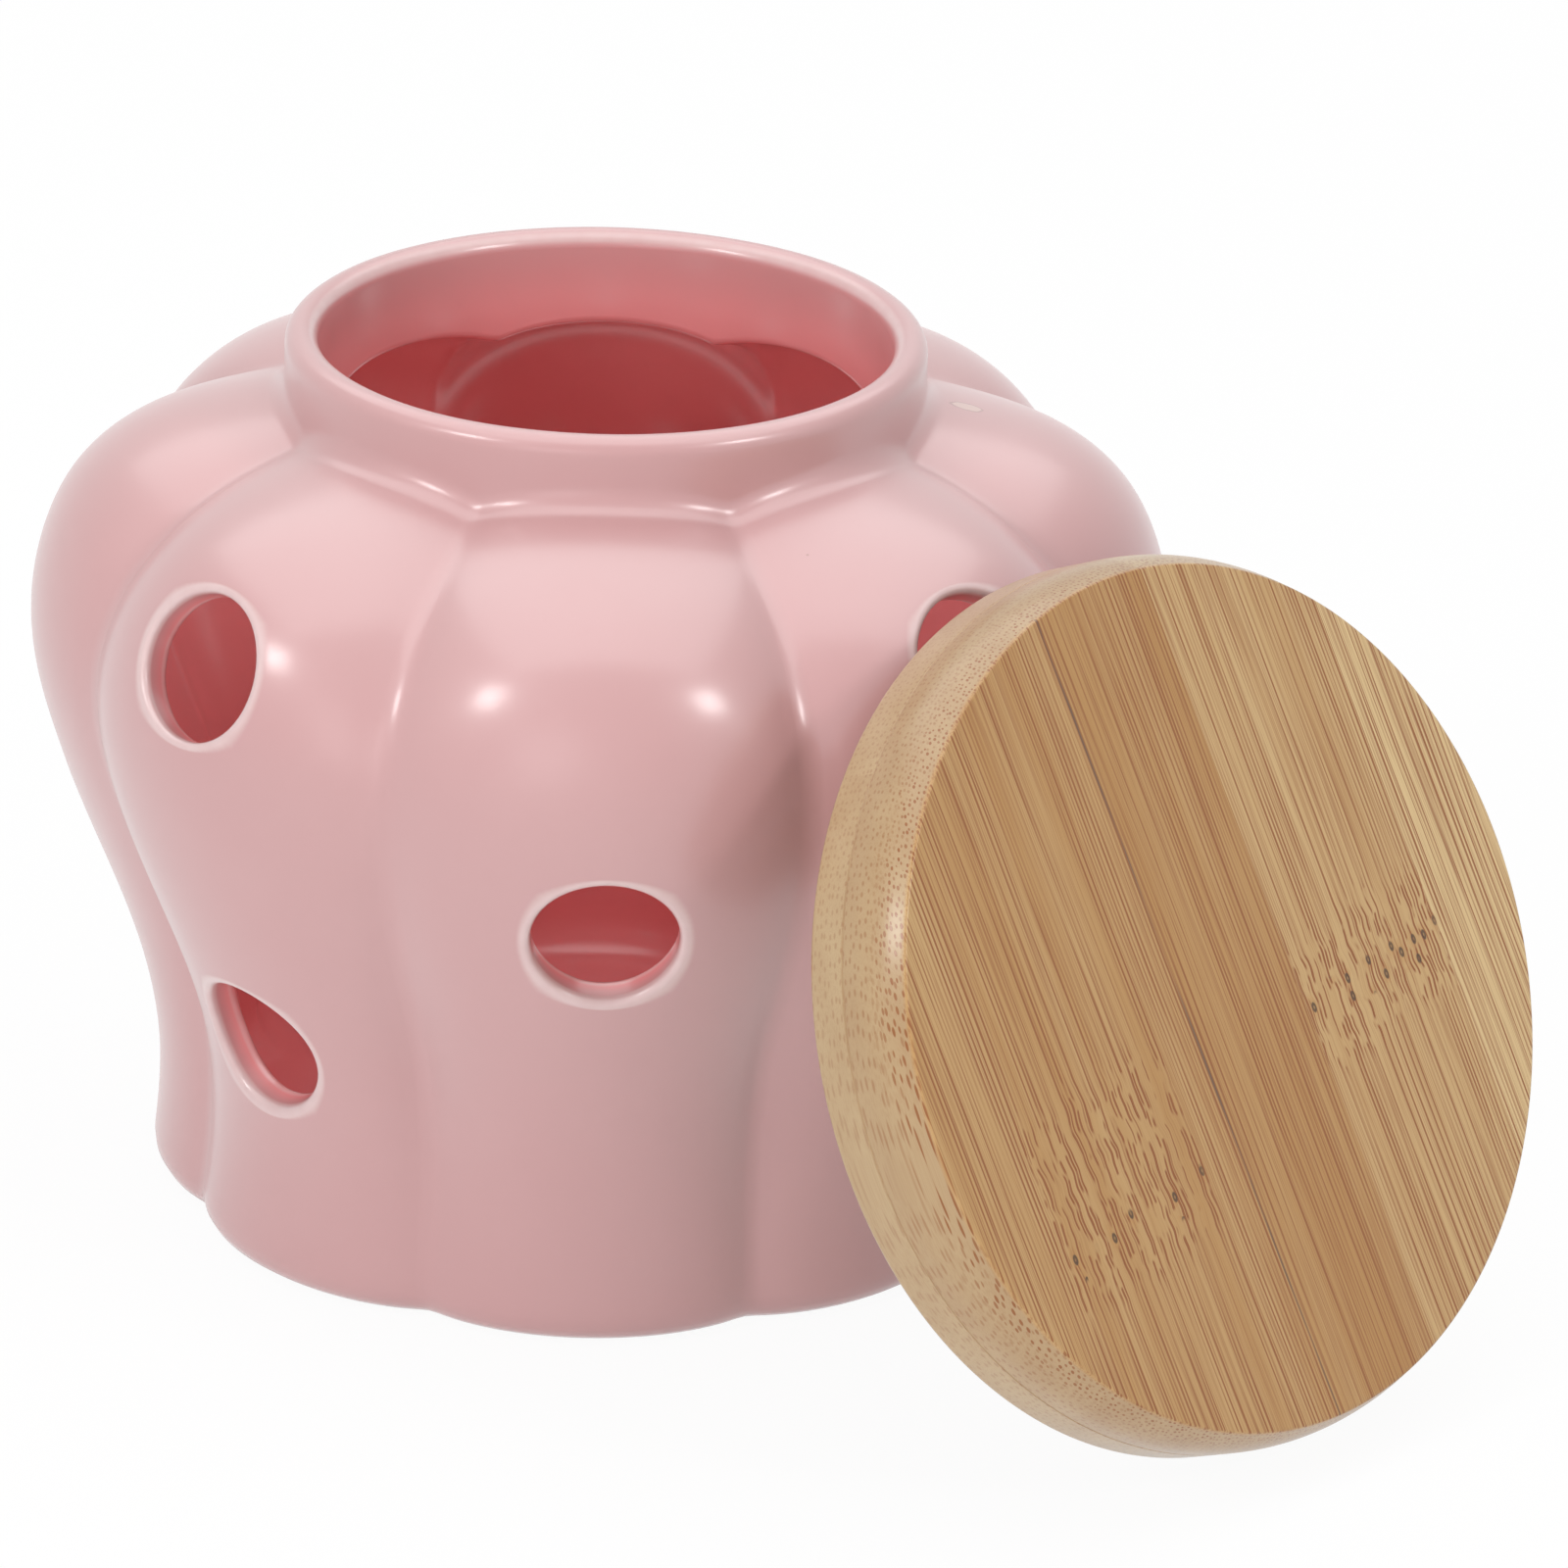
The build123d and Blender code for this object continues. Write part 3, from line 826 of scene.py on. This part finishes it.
def glaze_material(jar):
    """Satin pink glaze: cloudy, with a few specks, thin and whitish over edges, none on the foot ring, and
    painted redder and brighter inside as painted bounce light.
    """
    material, recipe, shader = new_material("Pink satin glaze", IOR=1.6, Coat_Roughness=0.45, Coat_IOR=1.7)
    here = recipe.add("ShaderNodeTexCoord", None, None, "Object")
    up = recipe.add("ShaderNodeSeparateXYZ", None, {0: here}).also("Z")
    cloud = recipe.noise(here, 26.0, 3.0)
    mottle = recipe.noise(here, 420.0, 2.0)
    specks, chance = recipe.cells(here, 130.0)
    speck = specks.fall(0.012, 0.03) * chance.rise(0.9, 0.92)
    patch = {"Location": SCUFF_PLACE, "Scale": SCUFF_SIZE}
    patch = recipe.add("ShaderNodeMapping", {"vector_type": "TEXTURE"}, {"Vector": here, **patch})
    scuff = recipe.add("ShaderNodeVectorMath", {"operation": "LENGTH"}, {0: patch}, "Value")
    scuff = scuff + (mottle - 0.5) * 0.9
    thin, inside = recipe.value("thin"), recipe.value("inside")
    thin_edge = thin.rise(0.5, 1.0) * (0.5 + mottle * 0.4)
    bare = up.fall(0.1 * MM, 0.35 * MM)

    # Inside the jar the glaze is painted redder and brighter, less so up by the mouth: painted light for
    # light bouncing inside the jar.
    within = inside.rise(0.1, 0.9) * (1 - up.rise(jar.height - 12 * MM, jar.height) * 0.7)
    colour = recipe.mix(within, tuple(jar.glaze), tuple(jar.inner_glaze_painted_bounce))
    deep = recipe.mix(0.12, colour, (0.45, 0.16, 0.16))
    colour = recipe.mix(cloud.rise(0.35, 0.68), deep, colour)
    colour = recipe.mix(mottle.rise(0.55, 0.75) * 0.2, colour, deep)
    colour = recipe.mix(thin_edge * 0.5, colour, tuple(jar.thin_glaze))
    colour = recipe.mix(speck * 0.6, colour, (0.25, 0.13, 0.1))
    colour = recipe.mix(scuff.fall(0.95, 1.05) * 0.5, colour, (0.3, 0.17, 0.15))
    colour = recipe.mix(scuff.fall(0.75, 0.9) * 0.8, colour, (0.66, 0.47, 0.42))
    colour = recipe.mix(bare, colour, tuple(jar.bare_clay))
    roughness = jar.roughness + (cloud - 0.5) * 0.05 + (mottle - 0.5) * 0.04 + bare * 0.45
    veil = (1 - inside) * (1 - bare) * 0.8
    height = mottle * (0.3 + bare * 2)
    bump = recipe.add("ShaderNodeBump", None, {"Strength": 0.04, "Distance": 0.1 * MM, "Height": height})
    feed(recipe, shader, Base_Color=colour, Roughness=roughness, Coat_Weight=veil, Normal=bump)
    return material


def bamboo_material(lid, place):
    """Bamboo: pale pith with dark bundles of fibres along the grain, dots where they are cut across."""
    material, recipe, shader = new_material("Varnished bamboo", IOR=1.45, Coat_Weight=0.4, Coat_Roughness=0.2)
    here = recipe.add("ShaderNodeTexCoord", None, None, "Object")
    turned = {"Location": place.to_translation(), "Rotation": place.to_euler(), "Scale": (MM, MM, MM)}
    local = recipe.add("ShaderNodeMapping", {"vector_type": "TEXTURE"}, {"Vector": here, **turned})
    parts = recipe.add("ShaderNodeSeparateXYZ", None, {0: local})
    x, y, depth = parts, parts.also("Y"), 0 - parts.also("Z")
    tone, shift = recipe.value("tone"), recipe.value("shift")
    face = depth.fall(0.05, 0.6)

    # Round the nodes the fibres are broken into dashes, and a ragged row of pits runs across them.
    ragged = y + (recipe.noise(recipe.vector(x * 0.22, shift, 0), 1.0, 2.0) - 0.5) * 11
    spots, chance = recipe.cells(recipe.vector(x * 0.5, y * 0.28, 0), 1.0, 0.95, "2D")
    broken = pitted = 0
    for left, right, line, low, high in NODE_MARKS:
        within = x.rise(left, left + 1.5) * x.fall(right - 1.5, right) * face
        broken = within * ragged.rise(low, low + 4) * ragged.fall(high - 6, high) + broken
        pitted = within * abs(y - line).fall(1.7, 2.4) + pitted
    pitted = pitted * chance.rise(0.35, 0.4)
    pit = spots.fall(0.14, 0.2) * (1 - spots.fall(0.03, 0.08) * 0.5) * pitted
    stain = spots.fall(0.15, 0.6) * pitted

    # Bundles of fibres run along the grain: close together by the face, farther apart and fainter below it.
    wander = recipe.noise(recipe.vector(x * 0.05 + shift, y * 0.012, depth * 0.05), 1.0, 2.0) - 0.5
    ripple = (recipe.noise(recipe.vector(x * 0.25, y * 0.3, shift), 1.0, 1.0) - 0.5) * broken
    across = x + wander * 1.4 + ripple
    below = depth.rise(1.6, 5.0)
    near, own = recipe.cells(recipe.vector(across * 1.85 + shift * 3, depth * 1.85 + 0.25, 0), 1.0, 0.6, "2D")
    far, other = recipe.cells(recipe.vector(across * 1.3 + shift * 5, depth * 1.3 + 0.4, 0), 1.0, 0.6, "2D")
    run = recipe.noise(recipe.vector(own * 37, y * 0.03 + own * 11, shift), 1.0, 2.0)
    dash = recipe.noise(recipe.vector(own * 91, y * 0.3 + own * 29, shift), 1.0, 1.0).rise(0.4, 0.5)
    strong = x.math("MAXIMUM", run.rise(0.35, 0.6), broken)
    bundle = (near - own * 0.12 - broken * 0.03).fall(0.12, 0.26) * (0.35 + strong * 0.65) * (1 - below)
    bundle = bundle + (far - other * 0.06).fall(0.1, 0.26) * below * (0.5 - depth.rise(4.0, 12.0) * 0.2)
    bundle = bundle * (1 - broken * (1 - dash * 1.2))
    hair = recipe.noise(recipe.vector(across * 6.5 + shift, y * 0.04, depth * 6.5), 1.0, 2.0)
    broad = recipe.noise(recipe.vector(across * 0.22 + shift, y * 0.01, depth * 0.22), 1.0, 2.0)

    base = recipe.mix(tone + (broad - 0.5) * 0.9, tuple(lid.pale), tuple(lid.brown))
    # Below the face the rounded side is painted darker and greyer than the face: painted shade on the side
    # that tones down the lamps' light there.
    base = recipe.mix((1 - face) * 0.5, base, (0.38, 0.29, 0.185))
    base = recipe.mix(stain * 0.4, base, (0.42, 0.19, 0.045))
    hairs = hair.rise(0.48, 0.62) * (0.12 + face * 0.32) * (1 - broken * 0.5)
    colour = recipe.mix(hairs, base, tuple(lid.fibre))
    colour = recipe.mix(bundle * 0.95, colour, tuple(lid.fibre))
    colour = recipe.mix(pit * 0.85, colour, (0.05, 0.025, 0.012))
    filled = recipe.noise(recipe.vector(shift, y * 0.06, 0), 1.0, 2.0).rise(0.4, 0.55)
    glue = abs(x - lid.radius * TOP_JOINT_SHARES[GLUE_LINE] / MM).fall(0.06, 0.2) * face * filled
    colour = recipe.mix(glue * 0.8, colour, (0.09, 0.06, 0.04))
    rough_cut = recipe.noise(recipe.vector(x * 0.7, y * 0.7, depth * 1.5), 1.0, 3.0) - 0.5
    ply = abs(depth - lid.top_ply / MM + rough_cut * 0.8).fall(0.05, 0.3) * (0.4 + rough_cut)
    colour = recipe.mix(ply * 0.5, colour, tuple(lid.fibre))
    roughness = 0.36 - bundle * 0.06 + (hair - 0.5) * 0.15 + pit * 0.3
    height = 0 - bundle * 0.6 - hair * 0.25 - pit * 3 - ply * 1.5
    bump = recipe.add("ShaderNodeBump", None, {"Strength": 0.2, "Distance": 0.1 * MM, "Height": height})
    feed(recipe, shader, Base_Color=colour, Roughness=roughness, Normal=bump)
    return material


def silicone_material(lid):
    """Milky silicone, with a dull bloom and a little dust."""
    material, recipe, shader = new_material("Milky silicone", IOR=1.41)
    here = recipe.add("ShaderNodeTexCoord", None, None, "Object")
    bloom = recipe.noise(here, 160.0, 3.0)
    grains, chance = recipe.cells(here, 700.0)
    dust = grains.fall(0.05, 0.12) * chance.rise(0.5, 0.6)
    colour = recipe.mix(bloom.rise(0.3, 0.7), tuple(0.93 * channel for channel in lid.seal), tuple(lid.seal))
    colour = recipe.mix(dust * 0.25, colour, (0.45, 0.4, 0.34))
    bump = recipe.add("ShaderNodeBump", None, {"Strength": 0.08, "Distance": 0.05 * MM, "Height": bloom})
    feed(recipe, shader, Base_Color=colour, Roughness=0.42 + bloom * 0.2, Normal=bump)
    return material


def lid_place(lid):
    """The lid's own frame: the grain along Y, and the face's centre at the origin with Z out of it."""
    normal = Vector(frame["joints"][0]["axis"]).normalized()
    aside = Vector((0, 0, 1)).cross(normal).normalized()
    across = Matrix.Rotation(lid.grain_turn, 3, normal) @ aside
    centre = (SEAL_BOX[0] + SEAL_BOX[1]) / 2 + normal * (lid.thickness + lid.plug_depth / 2)
    axes = Matrix((across, normal.cross(across), normal)).transposed()
    return Matrix.Translation(centre) @ axes.to_4x4()


def turned(outline):
    """A solid turned from an outline of radii and heights that starts and ends on the axis."""
    work = bmesh.new()
    poles = [work.verts.new((0, 0, outline[i][1])) for i in (0, -1)]
    angles = [2 * pi * i / LID_SEGMENTS for i in range(LID_SEGMENTS)]
    rings = [[work.verts.new((r * cos(a), r * sin(a), z)) for a in angles] for r, z in outline[1:-1]]
    for i in range(LID_SEGMENTS):
        j = (i + 1) % LID_SEGMENTS
        work.faces.new((poles[0], rings[0][i], rings[0][j]))
        work.faces.new((poles[1], rings[-1][j], rings[-1][i]))
        for upper, lower in zip(rings, rings[1:]):
            work.faces.new((upper[i], lower[i], lower[j], upper[j]))
    return work


def quarter(centre, radius, start, end, steps):
    """Places on an arc of an outline, from one angle to another in degrees."""
    turns = [radians(start + (end - start) * i / steps) for i in range(steps + 1)]
    return [(centre[0] + radius * cos(a), centre[1] + radius * sin(a)) for a in turns]


def lid_outlines(lid):
    """The outlines of the top ply, the under ply and the plug."""
    ply, thickness = -lid.top_ply, -lid.thickness
    bow = ((lid.radius - lid.face_radius) ** 2 + lid.edge_drop**2) / (2 * (lid.radius - lid.face_radius))
    centre = (lid.radius - bow, -lid.edge_drop)
    steep = np.degrees(np.arcsin((lid.edge_drop - lid.edge_rounding) / bow))
    side = quarter(centre, bow, steep, 0, 12)
    shoulder = (side[0][0] - lid.edge_rounding * cos(radians(steep)), -lid.edge_rounding)
    edge = quarter(shoulder, lid.edge_rounding, 90, steep, 4)
    support = (edge[0][0] - 0.5 * MM, 0)
    wear = lid.ply_arris
    top = [(0, 0), (lid.face_radius / 2, 0), support, *edge, *side[1:]]
    top += [(lid.radius, ply + wear), (lid.radius - wear, ply), (lid.radius - 4 * wear, ply), (0, ply)]
    lower = quarter((lid.radius - lid.arris, thickness + lid.arris), lid.arris, 0, -90, 5)
    under = [(0, ply), (lid.radius - 4 * wear, ply), (lid.radius - wear, ply), (lid.radius, ply - wear)]
    under += [*lower, (lid.radius - 3 * lid.arris, thickness), (0, thickness)]
    end, half = thickness - lid.plug_depth, lid.groove_width / 2
    middle, seat = thickness - lid.plug_depth / 2, lid.plug_radius - lid.groove_depth
    radius, arris = lid.plug_radius, lid.plug_arris
    plug = [(0, thickness), (radius, thickness), (radius, middle + half), (seat, middle + half)]
    plug += [(seat, middle - half), (radius, middle - half), (radius, end + arris)]
    plug += [(radius - arris, end), (0, end)]
    return top, under, plug


def rip(outline, left, right, place):
    """The strip of a turned solid between two joints, put in its place."""
    work = turned(outline)
    for joint, side in ((left, -1), (right, 1)):
        everything = work.verts[:] + work.edges[:] + work.faces[:]
        bmesh.ops.bisect_plane(
            work, geom=everything, plane_co=(joint, 0, 0), plane_no=(side, 0, 0), clear_outer=True
        )
        bmesh.ops.holes_fill(work, edges=[edge for edge in work.edges if edge.is_boundary])
    bmesh.ops.remove_doubles(work, verts=work.verts, dist=0.001 * MM)
    bmesh.ops.recalc_face_normals(work, faces=work.faces)
    work.transform(place)
    mesh = bpy.data.meshes.new("strip")
    work.to_mesh(mesh)
    work.free()
    mesh.shade_smooth()
    mesh.set_sharp_from_angle(angle=SHARP_EDGE)
    return mesh


def seal_group():
    """The tree that sweeps the seal's outline round the plug and puts it in place."""
    sizes = {
        "Path Radius": "NodeSocketFloat",
        "Steps": "NodeSocketInt",
        "Place": "NodeSocketVector",
        "Turn": "NodeSocketRotation",
        "Material": "NodeSocketMaterial",
    }
    group, recipe, given = new_group("Seal Ring", sizes)
    path = {"Radius": given.also("Path Radius"), "Resolution": given.also("Steps")}
    circle = recipe.add("GeometryNodeCurvePrimitiveCircle", None, path)
    outline = recipe.add("GeometryNodeMeshToCurve", None, {"Mesh": given})
    ring = recipe.add("GeometryNodeCurveToMesh", None, {"Curve": circle, "Profile Curve": outline})
    moved = {"Geometry": ring, "Translation": given.also("Place"), "Rotation": given.also("Turn")}
    ring = recipe.add("GeometryNodeTransform", None, moved)
    ring = recipe.add("GeometryNodeSetShadeSmooth", None, {"Geometry": ring})
    ring = recipe.add("GeometryNodeRealizeInstances", None, {"Geometry": ring})
    ring = recipe.add("GeometryNodeSetMaterial", None, {"Geometry": ring, "Material": given.also("Material")})
    recipe.finish(ring)
    return group


class JAR_OT_wall(bpy.types.Operator):
    """Build the jar's lobed ceramic wall with its vents"""

    bl_idname = "storage_jar.wall"
    bl_label = "Ceramic Jar"

    def execute(self, context):
        jar = context.scene.storage_jar
        chart = WallChart(jar, WallRule(jar))
        for turn, share in zip(VENT_TURNS, VENT_SHARES):
            chart.cut_vent(radians(turn), jar.dome_height * share)
        piece = new_piece("jar_wall", chart.mesh())
        values = {
            "Lobes": jar.lobes,
            "Groove Softness": jar.groove_softness,
            "Lobe Power": jar.lobe_power,
            "Unevenness": jar.unevenness,
            "Material": glaze_material(jar),
        }
        grow(piece, wall_group(), values)
        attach(piece, "jar")
        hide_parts("jar_body")
        return {"FINISHED"}


class JAR_OT_lid(bpy.types.Operator):
    """Build the lid's bamboo strips, ply by ply"""

    bl_idname = "storage_jar.lid"
    bl_label = "Bamboo Lid"

    def execute(self, context):
        lid = context.scene.storage_jar_lid
        place = lid_place(lid)
        material = bamboo_material(lid, place)
        plies = {
            "top": [lid.radius * share for share in TOP_JOINT_SHARES],
            "under": [lid.radius * (2 * i / UNDER_STRIPS - 1) for i in range(1, UNDER_STRIPS)],
            "plug": [lid.plug_radius * (2 * i / PLUG_STRIPS - 1) for i in range(1, PLUG_STRIPS)],
        }
        for (ply, joints), outline in zip(plies.items(), lid_outlines(lid)):
            edges = [-2 * lid.radius, *joints, 2 * lid.radius]
            for i, (left, right) in enumerate(zip(edges, edges[1:])):
                mesh = rip(outline, left, right, place)
                if not mesh.polygons:
                    raise RuntimeError(f"Strip {i + 1} of the lid's {ply} has no faces")
                count = len(mesh.vertices)
                add_values(mesh, "tone", np.full(count, PLY_TONES[ply][i]))
                add_values(mesh, "shift", np.full(count, STRIP_SHIFT * (i + 1) + PLY_SHIFTS[ply]))
                mesh.materials.append(material)
                strip = new_piece(f"bamboo_{ply}_{i + 1}", mesh)
                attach(strip, "lid")
                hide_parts(f"lid_{ply}_strip_{i + 1}")
        return {"FINISHED"}


class JAR_OT_seal(bpy.types.Operator):
    """Build the soft ring in the plug's groove"""

    bl_idname = "storage_jar.seal"
    bl_label = "Seal Ring"

    def execute(self, context):
        lid = context.scene.storage_jar_lid
        place = lid_place(lid)
        half = lid.groove_width / 2 - lid.seal_play
        inside = lid.plug_radius - lid.groove_depth + lid.seal_play
        bead = lid.seal_radius - lid.plug_radius
        bulge = [(bead * cos(a), half * sin(a)) for a in np.linspace(-pi / 2, pi / 2, BEAD_POINTS)]
        outline = [(inside - lid.plug_radius, -half), *bulge, (inside - lid.plug_radius, half)]
        mesh = bpy.data.meshes.new("seal")
        count = len(outline)
        edges = [(i, (i + 1) % count) for i in range(count)]
        mesh.from_pydata([(out, up, 0) for out, up in outline], edges, [])
        piece = new_piece("silicone_ring", mesh)
        values = {
            "Path Radius": lid.plug_radius,
            "Steps": SEAL_SEGMENTS,
            "Place": place @ Vector((0, 0, -lid.thickness - lid.plug_depth / 2)),
            "Turn": place.to_euler(),
            "Material": silicone_material(lid),
        }
        grow(piece, seal_group(), values)
        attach(piece, "lid")
        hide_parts("seal_ring")
        return {"FINISHED"}


class JAR_OT_stage(bpy.types.Operator):
    """Set up the floor, the lamps and the camera"""

    bl_idname = "storage_jar.stage"
    bl_label = "Stage"

    def execute(self, context):
        stage = context.scene.storage_jar_stage
        self.camera(context, stage)
        self.floor(stage)
        self.world(context, stage)
        lamps = {name: self.softbox(name, *lamp) for name, lamp in LAMPS.items()}
        # The front lamp only lightens the shade, and shows in no reflection.
        lamps["front_softbox"].visible_glossy = False
        context.scene.view_settings.view_transform = "Standard"
        return {"FINISHED"}

    def camera(self, context, stage):
        """The camera, turned by its yaw, pitch and roll."""
        camera = bpy.data.cameras.new("camera")
        camera.sensor_width = SENSOR_WIDTH
        camera.lens = stage.lens
        run = cos(stage.pitch)
        ahead = Vector((sin(stage.yaw) * run, cos(stage.yaw) * run, -sin(stage.pitch)))
        level = Vector((cos(stage.yaw), -sin(stage.yaw), 0))
        over = level.cross(ahead)
        right = level * cos(stage.roll) + over * sin(stage.roll)
        up = over * cos(stage.roll) - level * sin(stage.roll)
        standpoint = new_piece("camera", camera)
        axes = Matrix((right, up, -ahead)).transposed()
        standpoint.matrix_world = Matrix.Translation(stage.camera) @ axes.to_4x4()
        context.scene.camera = standpoint

    def floor(self, stage):
        """A wide white floor that shows a little of the object's shadow."""
        mesh = bpy.data.meshes.new("floor")
        corners = [(x * FLOOR_REACH, y * FLOOR_REACH, 0) for x, y in ((-1, -1), (1, -1), (1, 1), (-1, 1))]
        mesh.from_pydata(corners, [], [(0, 1, 2, 3)])
        floor = new_piece("floor", mesh)
        material, recipe, shader = new_material("White floor", Roughness=0.9, Specular_IOR_Level=0.1)
        shader.inputs["Base Color"].default_value = (0.9, 0.9, 0.9, 1)
        seen = self.seen(recipe) * (1 - stage.shadow)
        white = recipe.add("ShaderNodeEmission", None, {"Strength": 1.0})
        surface = recipe.add("ShaderNodeMixShader", None, {0: seen, 2: white})
        recipe.tree.links.new(shader.outputs[0], surface.node.inputs[1])
        recipe.tree.links.new(surface.output, recipe.tree.nodes["Material Output"].inputs[0])
        mesh.materials.append(material)

    def world(self, context, stage):
        """White all round where it is seen, and a weaker even light on the object."""
        world = bpy.data.worlds.new("white_room")
        world.use_nodes = True
        context.scene.world = world
        recipe = Recipe(world.node_tree)
        strength = stage.surround + self.seen(recipe) * (1 - stage.surround)
        background = world.node_tree.nodes["Background"]
        background.inputs["Color"].default_value = (1, 1, 1, 1)
        recipe.tree.links.new(strength.output, background.inputs["Strength"])

    def seen(self, recipe):
        """1 for what the camera sees directly, in a reflection or through something, and 0 for light."""
        path = recipe.add("ShaderNodeLightPath", None, None, "Is Camera Ray")
        seen = path.math("MAXIMUM", path, path.also("Is Glossy Ray"))
        return path.math("MAXIMUM", seen, path.also("Is Transmission Ray"))

    def softbox(self, name, place, size, power):
        """A square lamp that points at the object."""
        lamp = bpy.data.lights.new(name, "AREA")
        lamp.shape = "SQUARE"
        lamp.size = size
        lamp.energy = power
        holder = new_piece(name, lamp)
        aim = Vector(LAMP_AIM) - Vector(place)
        holder.matrix_world = Matrix.Translation(place) @ aim.to_track_quat("-Z", "Y").to_matrix().to_4x4()
        return holder


class JAR_PT_panel(bpy.types.Panel):
    """The jar's pieces and sizes in the sidebar"""

    bl_idname = "JAR_PT_panel"
    bl_label = "Storage Jar"
    bl_space_type = "VIEW_3D"
    bl_region_type = "UI"
    bl_category = "Storage Jar"

    def draw(self, context):
        groups = (
            (context.scene.storage_jar, (JAR_OT_wall,)),
            (context.scene.storage_jar_lid, (JAR_OT_lid, JAR_OT_seal)),
            (context.scene.storage_jar_stage, (JAR_OT_stage,)),
        )
        for settings, operators in groups:
            box = self.layout.box()
            for operator in operators:
                box.operator(operator.bl_idname)
            for name in settings.__annotations__:
                box.prop(settings, name)


CLASSES = (
    JarSettings, LidSettings, StageSettings, JAR_OT_wall, JAR_OT_lid, JAR_OT_seal, JAR_OT_stage, JAR_PT_panel,
)


def register():
    for cls in CLASSES:
        bpy.utils.register_class(cls)
    bpy.types.Scene.storage_jar = PointerProperty(type=JarSettings)
    bpy.types.Scene.storage_jar_lid = PointerProperty(type=LidSettings)
    bpy.types.Scene.storage_jar_stage = PointerProperty(type=StageSettings)


def unregister():
    del bpy.types.Scene.storage_jar_stage
    del bpy.types.Scene.storage_jar_lid
    del bpy.types.Scene.storage_jar
    for cls in reversed(CLASSES):
        bpy.utils.unregister_class(cls)


def main():
    register()
    bpy.ops.storage_jar.wall()
    bpy.ops.storage_jar.lid()
    bpy.ops.storage_jar.seal()
    bpy.ops.storage_jar.stage()


if __name__ == "__main__":
    main()
